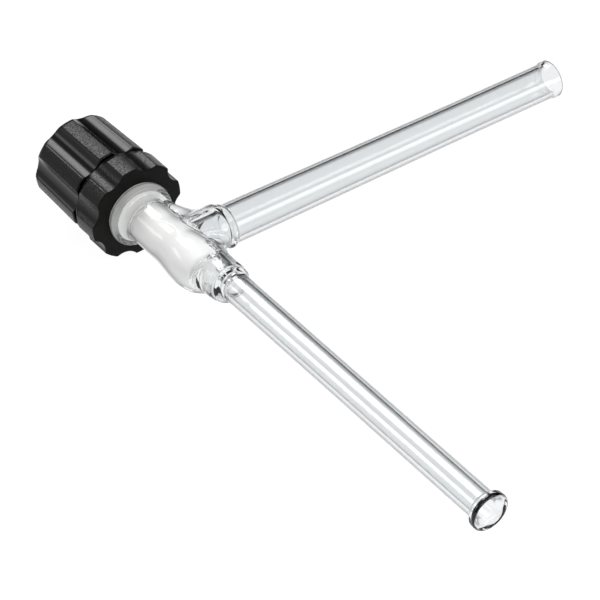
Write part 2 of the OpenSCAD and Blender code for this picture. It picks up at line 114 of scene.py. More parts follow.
def rounded_outline(corners, closed, steps=5):
    """Points along an outline of [radius, place, rounding] corners, with close rows beside each bend."""
    count = len(corners)
    points = []
    for i, (r, x, rounding) in enumerate(corners):
        if not closed and i in (0, count - 1):
            points.append((r, x))
            continue
        here = np.array((r, x), float)
        before = np.array(corners[i - 1][:2], float) - here
        after = np.array(corners[(i + 1) % count][:2], float) - here
        len_before, len_after = np.linalg.norm(before), np.linalg.norm(after)
        before, after = before / len_before, after / len_after
        half = math.acos(max(-1, min(1, before @ after))) / 2
        if half > math.radians(88):
            points.append((r, x))
            continue
        reach = min(rounding / math.tan(half), 0.45 * len_before, 0.45 * len_after)
        radius = reach * math.tan(half)
        middle = (before + after) / np.linalg.norm(before + after)
        centre = here + middle * radius / math.sin(half)
        start, end = here + before * reach - centre, here + after * reach - centre
        support = 1.15 * reach + 0.05
        if support < 0.5 * len_before:
            points.append(tuple(here + before * support))
        sweep = math.pi - 2 * half
        for k in range(steps + 1):
            t = k / steps
            w0 = math.sin((1 - t) * sweep) / math.sin(sweep)
            w1 = math.sin(t * sweep) / math.sin(sweep)
            points.append(tuple(centre + start * w0 + end * w1))
        if support < 0.5 * len_after:
            points.append(tuple(here + after * support))
    return np.array(points)


def spin(rows, closed):
    """Faces of a surface whose points are rows of [row][column], the columns closing round."""
    count, around = rows
    index = np.arange(count * around).reshape(count, around)
    lower = index if closed else index[:-1]
    upper = np.roll(index, -1, 0) if closed else index[1:]
    quads = np.stack([lower, upper, np.roll(upper, -1, 1), np.roll(lower, -1, 1)], -1)
    return quads.reshape(-1, 4)


def turned_piece(corners, closed, around=160, steps=5):
    """Points and faces of a piece turned about the main axis."""
    outline = rounded_outline(corners, closed, steps)
    angle = np.linspace(0, 2 * math.pi, around, endpoint=False)
    r, x = outline[:, :1], outline[:, 1:]
    points = np.stack([x + 0 * angle, r * np.cos(angle), r * np.sin(angle)], -1).reshape(-1, 3)
    faces = spin((len(outline), around), closed).tolist()
    if not closed:
        # close each end on the axis
        for first, place in ((0, outline[0, 1]), ((len(outline) - 1) * around, outline[-1, 1])):
            points = np.vstack([points, [place, 0, 0]])
            apex = len(points) - 1
            for k in range(around):
                a, b = first + k, first + (k + 1) % around
                faces.append([apex, a, b] if first == 0 else [apex, b, a])
    return points, faces


# ---------------------------------------------------------------- grips with scallops


def soft_least(a, b, width):
    """The smaller of two radii, with the edge between them rounded over a width."""
    blend = np.maximum(width - np.abs(a - b), 0) / width
    return np.minimum(a, b) - blend * blend * width / 4


def scallop_surface(angle, reach, cutter):
    """Distance from the axis to the scallop's wall, for an angle from the scallop's middle."""
    inside = cutter**2 - (reach * np.sin(angle)) ** 2
    wall = reach * np.cos(angle) - np.sqrt(np.maximum(inside, 0))
    return np.where(inside > 0, wall, reach + cutter)


def grip_columns(scallop_angle, count):
    """Angles round one grip, close together at the edges of each scallop, and which lie in a scallop."""
    pitch = 360 / count
    half = scallop_angle / 2
    near = np.array([-1.5, -0.9, -0.45, -0.15, 0.15, 0.45, 0.9, 1.5])
    scallop = np.linspace(-half + 2.4, half - 2.4, 13)
    land = np.linspace(half + 2.4, pitch - half - 2.4, 4)
    one = np.concatenate([scallop, half + near, land, pitch - half + near])
    columns = np.sort(np.concatenate([one + i * pitch for i in range(count)]))
    middles = np.append(columns[1:], columns[0] + 360) / 2 + columns / 2
    from_middle = (middles + pitch / 2) % pitch - pitch / 2
    return np.radians(columns), np.abs(from_middle) < half


def grip_piece(corners, outer, length, radii, scallop_angle, turn, cutter, count, edge):
    """Points, faces and a mark for faces inside scallops, for a grip with scallops round it.

    corners is the closed outline. outer tells, for a radius and a place, how far the outline's
    own edge rounding lies inside the grip's plain radius there, or None off the grip.
    """
    outline = rounded_outline(corners, True, 6)
    columns, in_scallop = grip_columns(scallop_angle, count)
    half = math.radians(scallop_angle / 2)
    middle = np.radians(360 / count)
    from_middle = (columns + middle / 2) % middle - middle / 2
    rows, grip_rows = [], []
    for r, x in outline:
        found = outer(r, x)
        radius = np.full(len(columns), r)
        grip_rows.append(found is not None)
        if found is not None:
            share = (x - length[0]) / (length[1] - length[0])
            plain = radii[0] + (radii[1] - radii[0]) * share
            reach = plain * math.cos(half) + math.sqrt(cutter**2 - (plain * math.sin(half)) ** 2)
            wall = scallop_surface(from_middle, reach, cutter)
            radius = soft_least(np.full(len(columns), r + found), wall, edge) - found
        rows.append(radius)
    rows = np.array(rows)
    angle = columns + math.radians(turn + 180 / count)
    x = outline[:, 1:] + 0 * columns
    points = np.stack([x, rows * np.cos(angle), rows * np.sin(angle)], -1).reshape(-1, 3)
    faces = spin(rows.shape, True)
    grip_rows = np.array(grip_rows)
    both = grip_rows & np.roll(grip_rows, -1)
    marks = (both[:, None] & in_scallop[None, :]).reshape(-1)
    return points, faces, marks


# ---------------------------------------------------------------- blown glass


def fillet(a, b, radius):
    """Union of two solids, given as distances, with a fillet in the corner between them."""
    u, v = np.maximum(radius - a, 0), np.maximum(radius - b, 0)
    return np.maximum(radius, np.minimum(a, b)) - np.hypot(u, v)


def shared(a, b, radius):
    """What two solids share, with the edge between them rounded."""
    return -fillet(-a, -b, radius)


def through(place, stops):
    """A smooth value along a line, as cubics through stops of (place, value) that don't overshoot."""
    xs, ys = np.array(stops, float).T
    slope = np.diff(ys) / np.diff(xs)
    ends = np.zeros(len(xs))
    same = slope[:-1] * slope[1:] > 0
    total = slope[:-1] + slope[1:]
    ends[1:-1][same] = 2 * slope[:-1][same] * slope[1:][same] / total[same]
    place = np.clip(place, xs[0], xs[-1])
    i = np.clip(np.searchsorted(xs, place, side="right") - 1, 0, len(xs) - 2)
    step = xs[i + 1] - xs[i]
    t = (place - xs[i]) / step
    return (
        (1 + 2 * t) * (1 - t) ** 2 * ys[i]
        + t * (1 - t) ** 2 * step * ends[i]
        + t * t * (3 - 2 * t) * ys[i + 1]
        + t * t * (t - 1) * step * ends[i + 1]
    )


# radii in millimetres of the small fillets and soft edges that the flame leaves between two forms
SOFT = {
    "mouth_edge": 0.4, "chamber_end": 2.5, "barrel_chamber": 0.45, "body_neck": 1.3, "stub_end": 1.8,
    "stub_arm": 0.4, "weld_bead": 0.35, "body_stub": 0.25, "collar_mouth": 0.2, "neck_floor": 0.7,
    "neck_top": 0.3, "chamber_side": 0.15, "chamber_corner": 1.2, "chamber_wall": 0.3, "port_edge": 0.4,
    "bore_chamber": 0.3, "seat_neck": 0.25, "neck_outlet": 0.3,
}


def glass_outside(x, y, z, g):
    """Distance to the outside of the blown body, as if it were solid."""
    main = np.hypot(y, z)
    side = np.hypot(x, z)
    # mouth, and the collar that stands out in front of the nut
    collar_x = -g.collar_back
    mouth_x = collar_x - g.mouth_len
    mouth = shared(main - g.mouth_r, mouth_x - x, SOFT["mouth_edge"])
    mouth = np.maximum(mouth, x - collar_x)
    collar = np.hypot(np.maximum(main - g.collar_r, 0), x - collar_x) - g.collar_round
    # barrel, which swells round the seat and closes behind it
    rise = np.clip((x - g.swell_x + g.swell_rise) / g.swell_rise, 0, 1)
    straight = main - g.barrel_r - g.swell_h * np.sin(math.pi / 2 * rise) ** 2
    end_r = g.seat_hole_r
    crest = g.barrel_r + g.swell_h - end_r
    u, v = np.maximum(main - end_r, 1e-3), np.maximum(x - g.swell_x, 0)
    k0 = np.hypot(u / crest, v / g.swell_fall)
    k1 = np.hypot(u / crest**2, v / g.swell_fall**2)
    barrel = np.where(x < g.swell_x, straight, k0 * (k0 - 1) / np.maximum(k1, 1e-6))
    barrel = np.maximum(barrel, collar_x - x)
    # chamber beside the barrel, which grows from the collar to the stub
    grown = through(x, [(-g.web_back, 0), (g.web_end - g.web_back, 1), (0, 1), (g.swell_x, 0)])
    chamber_rho = np.hypot(y - g.chamber_offset - g.web_rise * grown, z)
    chamber = chamber_rho - g.chamber_r - g.web_swell * grown
    chamber = shared(chamber, x - g.chamber_end, SOFT["chamber_end"])
    chamber = np.maximum(chamber, collar_x - x)
    body = fillet(barrel, chamber, SOFT["barrel_chamber"])
    # neck, shoulder and outlet arm in one line
    bend = g.neck_end + g.shoulder_bend
    last = g.neck_end + g.shoulder_len
    middle = through(x, [(g.neck_end - 2, g.neck_offset), (bend, (g.neck_offset + g.arm_offset) / 2),
                         (last, g.arm_offset), (last + 2, g.arm_offset)])
    lip_x = g.arm_len - g.lip_len
    radius = through(x, [(g.neck_end - 3, g.neck_r), (g.neck_end, g.neck_r - 0.05), (bend, g.bend_r),
                         (last, g.arm_r + 0.1), (last + 2, g.arm_r), (lip_x - g.lip_swell, g.arm_r),
                         (lip_x + 0.6, g.arm_lip_r), (g.arm_len, g.arm_lip_r)])
    neck = np.hypot(y - middle, z) - radius
    neck = np.maximum(shared(neck, x - g.arm_len, g.lip_round), g.neck_start - x)
    body = fillet(body, neck, SOFT["body_neck"])
    # stub, weld bead and tapered side arm
    stub_rho = np.hypot(x + g.stub_offset, z)
    stub = np.maximum(shared(stub_rho - g.stub_r, y - g.weld_y, SOFT["stub_end"]), -y)
    lip_y = g.side_len - g.lip_len
    taper_y = g.side_len - g.side_end_len
    radius = through(y, [(g.weld_y - 1, g.side_r), (g.weld_y, g.side_r),
                         ((g.weld_y + taper_y) / 2, (g.side_r + g.side_end_r) / 2),
                         (taper_y, g.side_end_r), (lip_y - g.lip_swell, g.side_end_r),
                         (lip_y + 0.6, g.side_lip_r), (g.side_len, g.side_lip_r)])
    tube = np.maximum(shared(side - radius, y - g.side_len, g.lip_round), g.weld_y - 1 - y)
    bead_in = g.side_r - g.lip_round
    bead = np.hypot(np.maximum(side - bead_in, 0), y - g.weld_y) - g.weld_rise - g.lip_round
    arm = fillet(fillet(stub, tube, SOFT["stub_arm"]), bead, SOFT["weld_bead"])
    # the stub runs into the body in a wide fillet, which fades where the two walls meet flat
    meeting = z * z / np.maximum(chamber_rho * stub_rho, 1e-3)
    body = fillet(body, arm, SOFT["body_stub"] + g.web * (1 - np.clip(meeting, 0, 1)))
    return fillet(fillet(body, collar, g.collar_fillet), mouth, SOFT["collar_mouth"])


def collar_hollow(g):
    """Outline of the hollow inside the collar, as (place, radius), one wall below the outside's fillet."""
    nose = g.collar_round + g.collar_fillet - g.collar_back
    centre, reach = g.barrel_r + g.collar_fillet, g.collar_fillet + g.collar_wall
    widest = math.acos((centre - g.mouth_bore_r) / reach)
    return [(nose - reach * math.sin(t), centre - reach * math.cos(t)) for t in np.linspace(widest, 0, 9)]


def flared(radius, from_end, bore_r, lip_r, g):
    """A bore's radius with the cone in which it opens to one rim's thickness inside the lip."""
    rim_r = lip_r - 2 * g.lip_round
    return np.maximum(radius, rim_r + from_end * (rim_r - bore_r) / g.flare_depth)


def glass_hollow(x, y, z, g):
    """Distance to the hollow of the blown body: bore, seat, chamber, neck and the arms' bores."""
    main = np.hypot(y, z)
    side = np.hypot(x, z)
    close = g.contact
    places, radii = np.array(collar_hollow(g)).T
    places = np.concatenate([places, [places[-1] + 0.15, g.seat_x, g.seat_x + g.seat_len]])
    radii = np.concatenate([radii - close, [g.bore_r - close, g.bore_r - close, g.seat_hole_r]])
    radius = np.interp(x, places, radii)
    bore = np.maximum(main - radius, x - g.neck_hollow_x - 1)
    chamber_rho = np.hypot(y - g.chamber_offset, z)
    capsule_front = g.seat_x - g.chamber_hollow_r
    beyond = x - np.clip(x, -g.chamber_back, capsule_front)
    chamber = np.hypot(chamber_rho, beyond) - g.chamber_hollow_r
    neck_rho = np.hypot(y - g.neck_offset, z)
    neck = shared(neck_rho - g.neck_bore_r, x - g.neck_hollow_end, SOFT["neck_floor"])
    neck = shared(neck, g.neck_hollow_x - x, SOFT["neck_top"])
    joint_x = g.neck_end + g.shoulder_bend
    joint_r = g.arm_bore_r - g.joint_ring
    radius = through(x, [(g.neck_end, joint_r), (joint_x, joint_r), (joint_x + 3, g.arm_bore_r),
                         (g.arm_len, g.arm_bore_r)])
    radius = flared(radius, x - g.arm_len, g.arm_bore_r, g.arm_lip_r, g)
    outlet = np.maximum(np.hypot(y - g.arm_offset, z) - radius, g.neck_end - x)
    taper_y = g.side_len - g.side_end_len
    widest = g.side_bore_r + g.side_r - g.side_end_r
    # the flame leaves a low ring inside the weld too
    radius = through(y, [(g.weld_y - 4, widest), (g.weld_y - 1.8, widest),
                         (g.weld_y - 0.2, widest - g.weld_ring),
                         (g.weld_y + 1.4, widest), (g.weld_y + 4, widest),
                         ((g.weld_y + taper_y) / 2, (widest + g.side_bore_r) / 2),
                         (taper_y, g.side_bore_r), (g.side_len, g.side_bore_r)])
    radius = flared(radius, y - g.side_len, g.side_bore_r, g.side_lip_r, g)
    side_bore = np.maximum(side - radius, g.chamber_offset + g.port_wall / 2 - y)
    meeting = z * z / np.maximum(chamber_rho * side, 1e-3)
    corner = SOFT["chamber_side"] + SOFT["chamber_corner"] * (1 - np.clip(meeting, 0, 1))
    chamber = fillet(chamber, side_bore, corner)
    # the barrel's own wall stands between chamber and bore, apart from the port
    chamber = shared(chamber, g.bore_r + g.port_wall - main, SOFT["chamber_wall"])
    port = np.maximum(np.hypot(x - g.port_x, z) - g.port_r, np.maximum(-y, y - g.chamber_offset - 0.5))
    chamber = fillet(chamber, port, SOFT["port_edge"])
    hollow = fillet(fillet(bore, chamber, SOFT["bore_chamber"]), neck, SOFT["seat_neck"])
    return fillet(hollow, outlet, SOFT["neck_outlet"])


def glass_distance(points, g):
    """Distance to the glass itself, below nought inside its wall."""
    x, y, z = points.T
    return shared(glass_outside(x, y, z, g), -glass_hollow(x, y, z, g), g.fire_polish)


def surface_slope(points, g, step=0.02):
    """Distance at each point and the way it grows fastest."""
    slope = np.empty_like(points)
    for axis in range(3):
        shift = np.zeros(3)
        shift[axis] = step
        slope[:, axis] = glass_distance(points + shift, g) - glass_distance(points - shift, g)
    slope /= 2 * step
    return glass_distance(points, g), slope


def skin(xs, ys, zs, g):
    """Points and faces of the glass's surface, one point in each cell of the grid that it crosses."""
    size = (len(xs), len(ys), len(zs))
    depth = np.empty(size)
    plane = np.stack(np.meshgrid(ys, zs, indexing="ij"), -1).reshape(-1, 2)
    for i, x in enumerate(xs):
        points = np.column_stack([np.full(len(plane), x), plane])
        depth[i] = glass_distance(points, g).reshape(size[1:])
    inside = depth < 0
    cells = tuple(n - 1 for n in size)
    total, found = np.zeros(cells + (3,)), np.zeros(cells, int)
    grid = (xs, ys, zs)
    crossings = []
    for axis in range(3):
        first = tuple(slice(0, -1) if k == axis else slice(None) for k in range(3))
        second = tuple(slice(1, None) if k == axis else slice(None) for k in range(3))
        at = np.argwhere(inside[first] != inside[second])
        near, far = depth[first][tuple(at.T)], depth[second][tuple(at.T)]
        place = np.column_stack([grid[k][at[:, k]] for k in range(3)])
        step = np.diff(grid[axis])[at[:, axis]]
        place[:, axis] += step * near / (near - far)
        others = [k for k in range(3) if k != axis]
        corners = []
        for da, db in ((1, 1), (0, 1), (0, 0), (1, 0)):
            cell = at.copy()
            cell[:, others[0]] -= da
            cell[:, others[1]] -= db
            np.add.at(total, tuple(cell.T), place)
            np.add.at(found, tuple(cell.T), 1)
            corners.append(cell)
        crossings.append((axis, inside[first][tuple(at.T)], corners))
    used = found > 0
    index = np.full(cells, -1)
    index[used] = np.arange(used.sum())
    points = total[used] / found[used][:, None]
    faces = []
    for axis, starts_inside, corners in crossings:
        quad = np.stack([index[tuple(c.T)] for c in corners], 1)
        flip = starts_inside ^ (axis == 1)
        quad[~flip] = quad[~flip][:, ::-1]
        faces.append(quad)
    return points, np.vstack(faces)


def graded(stops):
    """Grid places through stops of (place, spacing that follows it)."""
    parts = []
    for (start, step), (end, _) in zip(stops[:-1], stops[1:]):
        parts.append(np.linspace(start, end, max(2, round((end - start) / step) + 1))[:-1])
    return np.append(np.concatenate(parts), stops[-1][0])


# ---------------------------------------------------------------- finishes


def linear(colour):
    """An sRGB hex colour as linear red, green, blue and alpha."""
    parts = [int(colour[i : i + 2], 16) / 255 for i in (1, 3, 5)]
    return tuple(c / 12.92 if c <= 0.04045 else ((c + 0.055) / 1.055) ** 2.4 for c in parts) + (1.0,)


def add_node(tree, kind, inputs=None, **settings):
    """Adds a node with its settings. Each input is a value, or the socket that it is linked from."""
    made = tree.nodes.new(kind)
    for key, value in settings.items():
        setattr(made, key, value)
    for key, value in (inputs or {}).items():
        if isinstance(value, bpy.types.NodeSocket):
            tree.links.new(value, made.inputs[key])
        else:
            made.inputs[key].default_value = value
    return made


def new_material(name):
    """An empty material with its output node."""
    material = bpy.data.materials.new(name)
    material.use_nodes = True
    material.node_tree.nodes.clear()
    return material, material.node_tree, add_node(material.node_tree, "ShaderNodeOutputMaterial")


# what the wall lets through, seen square on, at a slant and grazing: the glass's own faint tint square on, then
# painted shade at a slant that draws dark lines along its edges
GLASS_TINT_AND_EDGE_SHADE = ((0.38, "#EBEDEE"), (0.47, "#E2E5E7"), (0.56, "#BABCBE"), (0.69, "#5B5D5F"), (1.0, "#FFFFFF"))


def borosilicate_glass():
    """Blown and fire-polished borosilicate tube.

    Clear and bright, with dark lines where its edges bend the light away, deepened by painted shade where the
    surface is seen at a slant, and the faint waves that drawing and flame-working leave in the wall.
    """
    material, tree, output = new_material("fire_polished_borosilicate")
    where = add_node(tree, "ShaderNodeTexCoord").outputs["Object"]
    # waves about 7 mm apart and a few microns high, as the flame leaves them
    waves = add_node(tree, "ShaderNodeTexNoise", {"Vector": where, "Scale": 1 / (7 * MM), "Detail": 1.0})
    bump = add_node(tree, "ShaderNodeBump", {
        "Height": waves.outputs["Fac"], "Strength": 0.12, "Distance": 0.05 * MM})
    # painted shade: where the surface is seen at a slant the tint turns dark grey, drawing dark lines along the
    # glass's edges
    edge_shade_facing = add_node(tree, "ShaderNodeLayerWeight", {"Blend": 0.5}).outputs["Facing"]
    tint = add_node(tree, "ShaderNodeValToRGB", {"Fac": edge_shade_facing})
    stops = tint.color_ramp.elements
    stops.remove(stops[1])
    stops[0].position, stops[0].color = GLASS_TINT_AND_EDGE_SHADE[0][0], linear(GLASS_TINT_AND_EDGE_SHADE[0][1])
    for place, colour in GLASS_TINT_AND_EDGE_SHADE[1:]:
        stops.new(place).color = linear(colour)
    # the base colour carries the glass's tint and the painted edge shade
    glass = add_node(tree, "ShaderNodeBsdfPrincipled", {
        "Base Color": tint.outputs["Color"], "Roughness": 0.0, "IOR": 1.473,
        "Transmission Weight": 1.0, "Normal": bump.outputs["Normal"]})
    # lamps reach what lies behind the wall
    clear = add_node(tree, "ShaderNodeBsdfTransparent", {"Color": linear("#FCFDFD")})
    lamp = add_node(tree, "ShaderNodeLightPath").outputs["Is Shadow Ray"]
    mix = add_node(tree, "ShaderNodeMixShader", {0: lamp, 1: glass.outputs[0], 2: clear.outputs[0]})
    tree.links.new(mix.outputs[0], output.inputs["Surface"])
    return material


def turned_fluoropolymer():
    """PTFE turned on a lathe.

    A dense slightly waxy white, with a soft wide sheen and very fine rings from the tool.
    """
    material, tree, output = new_material("turned_white_fluoropolymer")
    where = add_node(tree, "ShaderNodeTexCoord").outputs["Object"]
    place = add_node(tree, "ShaderNodeVectorMath", {0: where, 1: tuple(AXES[:, 0])}, operation="DOT_PRODUCT")
    # tool rings are 0.1 mm apart, and are drawn 0.5 mm apart to show at all
    rings = add_node(tree, "ShaderNodeTexNoise", {
        "W": place.outputs["Value"], "Scale": 1 / (0.5 * MM), "Detail": 2.0}, noise_dimensions="1D")
    mottle = add_node(tree, "ShaderNodeTexNoise", {"Vector": where, "Scale": 1 / (3 * MM), "Detail": 3.0})
    tint = add_node(tree, "ShaderNodeMix", {
        "Factor": mottle.outputs["Fac"], 6: linear("#FBFAF8"), 7: linear("#F4F3F1")}, data_type="RGBA")
    bump = add_node(tree, "ShaderNodeBump", {
        "Height": rings.outputs["Fac"], "Strength": 0.15, "Distance": 0.01 * MM})
    skin_node = add_node(tree, "ShaderNodeBsdfPrincipled", {
        "Base Color": tint.outputs[2], "Roughness": 0.36, "IOR": 1.36, "Normal": bump.outputs["Normal"]})
    tree.links.new(skin_node.outputs[0], output.inputs["Surface"])
    return material


# black finishes: colour, roughness, shine, how far apart and how deep the grain is in mm, and sparkle
MOULDED_BLACK = {
    "moulded_black_polished": ("#040405", 0.18, 0.23, 0.6, 0.004, 0.03),
    "moulded_black_eroded": ("#050507", 0.35, 0.22, 0.5, 0.04, 0.14),
    "moulded_black_nut_land": ("#050506", 0.35, 0.22, 0.5, 0.04, 0.14),
    "moulded_black_nut_scallop": ("#050506", 0.3, 0.22, 0.5, 0.035, 0.12),
    "moulded_black_nut_face": ("#0A0807", 0.6, 0.1, 0.5, 0.02, 0.1),
}


def moulded_black(name):
    """Glass-filled polyamide, injection moulded in a tool that is polished or finely spark-eroded.

    Polished walls give long sharp streaks of light; eroded ones a dark grey with a fine sparkle.
    """
    colour, roughness, shine, grain_mm, depth_mm, sparkle = MOULDED_BLACK[name]
    material, tree, output = new_material(name)
    where = add_node(tree, "ShaderNodeTexCoord").outputs["Object"]
    grain = add_node(tree, "ShaderNodeTexNoise", {
        "Vector": where, "Scale": 1 / (grain_mm * MM), "Detail": 2.0})
    spread = add_node(tree, "ShaderNodeMapRange", {
        "Value": grain.outputs["Fac"], "From Min": 0.35, "From Max": 0.65,
        "To Min": max(roughness - sparkle, 0.05), "To Max": roughness + sparkle})
    bump = add_node(tree, "ShaderNodeBump", {
        "Height": grain.outputs["Fac"], "Strength": 1.0, "Distance": depth_mm * MM})
    skin_node = add_node(tree, "ShaderNodeBsdfPrincipled", {
        "Base Color": linear(colour), "Roughness": spread.outputs["Result"], "IOR": 1.53,
        "Specular IOR Level": shine, "Normal": bump.outputs["Normal"]})
    tree.links.new(skin_node.outputs[0], output.inputs["Surface"])
    return material


def seal_rubber():
    """Moulded fluoroelastomer, black, with the dull even sheen of a clean seal."""
    material, tree, output = new_material("moulded_seal_rubber")
    where = add_node(tree, "ShaderNodeTexCoord").outputs["Object"]
    grain = add_node(tree, "ShaderNodeTexNoise", {"Vector": where, "Scale": 1 / (0.4 * MM), "Detail": 3.0})
    tint = add_node(tree, "ShaderNodeMix", {
        "Factor": grain.outputs["Fac"], 6: linear("#161616"), 7: linear("#202020")}, data_type="RGBA")
    rubber = add_node(tree, "ShaderNodeBsdfPrincipled", {
        "Base Color": tint.outputs[2], "Roughness": 0.55, "IOR": 1.5})
    tree.links.new(rubber.outputs[0], output.inputs["Surface"])
    return material


def milky_silicone():
    """Moulded silicone rubber, milky white, soft and slightly see-through at its edges."""
    material, tree, output = new_material("moulded_milky_silicone")
    where = add_node(tree, "ShaderNodeTexCoord").outputs["Object"]
    haze = add_node(tree, "ShaderNodeTexNoise", {"Vector": where, "Scale": 1 / (1.5 * MM), "Detail": 2.0})
    tint = add_node(tree, "ShaderNodeMix", {
        "Factor": haze.outputs["Fac"], 6: linear("#EEEFEE"), 7: linear("#E2E4E3")}, data_type="RGBA")
    rubber = add_node(tree, "ShaderNodeBsdfPrincipled", {
        "Base Color": tint.outputs[2], "Roughness": 0.45, "IOR": 1.41, "Subsurface Weight": 0.3,
        "Subsurface Radius": (1.0, 1.0, 1.0), "Subsurface Scale": 1 * MM})
    tree.links.new(rubber.outputs[0], output.inputs["Surface"])
    return material


def turned_steel():
    """Stainless steel bar, turned: bright, with rings of light from the tool marks."""
    material, tree, output = new_material("turned_stainless_steel")
    where = add_node(tree, "ShaderNodeTexCoord").outputs["Object"]
    place = add_node(tree, "ShaderNodeVectorMath", {0: where, 1: tuple(AXES[:, 0])}, operation="DOT_PRODUCT")
    rings = add_node(tree, "ShaderNodeTexNoise", {
        "W": place.outputs["Value"], "Scale": 1 / (0.2 * MM), "Detail": 3.0}, noise_dimensions="1D")
    spread = add_node(tree, "ShaderNodeMapRange", {
        "Value": rings.outputs["Fac"], "To Min": 0.18, "To Max": 0.38})
    bump = add_node(tree, "ShaderNodeBump", {
        "Height": rings.outputs["Fac"], "Strength": 0.4, "Distance": 0.01 * MM})
    steel = add_node(tree, "ShaderNodeBsdfPrincipled", {
        "Base Color": linear("#C4C6C8"), "Metallic": 1.0, "Roughness": spread.outputs["Result"],
        "Normal": bump.outputs["Normal"]})
    tree.links.new(steel.outputs[0], output.inputs["Surface"])
    return material


def opal_floor(colour, glow):
    """Matt opal acrylic, lit softly from below like a light table, with a tone that hardly changes."""
    material, tree, output = new_material("matt_opal_acrylic")
    where = add_node(tree, "ShaderNodeTexCoord").outputs["Object"]
    cloud = add_node(tree, "ShaderNodeTexNoise", {"Vector": where, "Scale": 1.5, "Detail": 2.0})
    low = tuple(c * 0.98 for c in colour) + (1.0,)
    tint = add_node(tree, "ShaderNodeMix", {
        "Factor": cloud.outputs["Fac"], 6: low, 7: tuple(colour) + (1.0,)}, data_type="RGBA")
    board = add_node(tree, "ShaderNodeBsdfPrincipled", {
        "Base Color": tint.outputs[2], "Roughness": 0.9, "Specular IOR Level": 0.05,
        "Emission Color": (1.0, 1.0, 1.0, 1.0), "Emission Strength": glow})
    tree.links.new(board.outputs[0], output.inputs["Surface"])
    return material


# ---------------------------------------------------------------- sizes and colours


def length(name, description, millimetres):
    return FloatProperty(name=name, description=description, default=millimetres * MM, unit="LENGTH",
                         subtype="DISTANCE", precision=5)


def angle(name, description, degrees):
    return FloatProperty(name=name, description=description, default=math.radians(degrees), subtype="ANGLE")


def number(name, description, default):
    return FloatProperty(name=name, description=description, default=default)


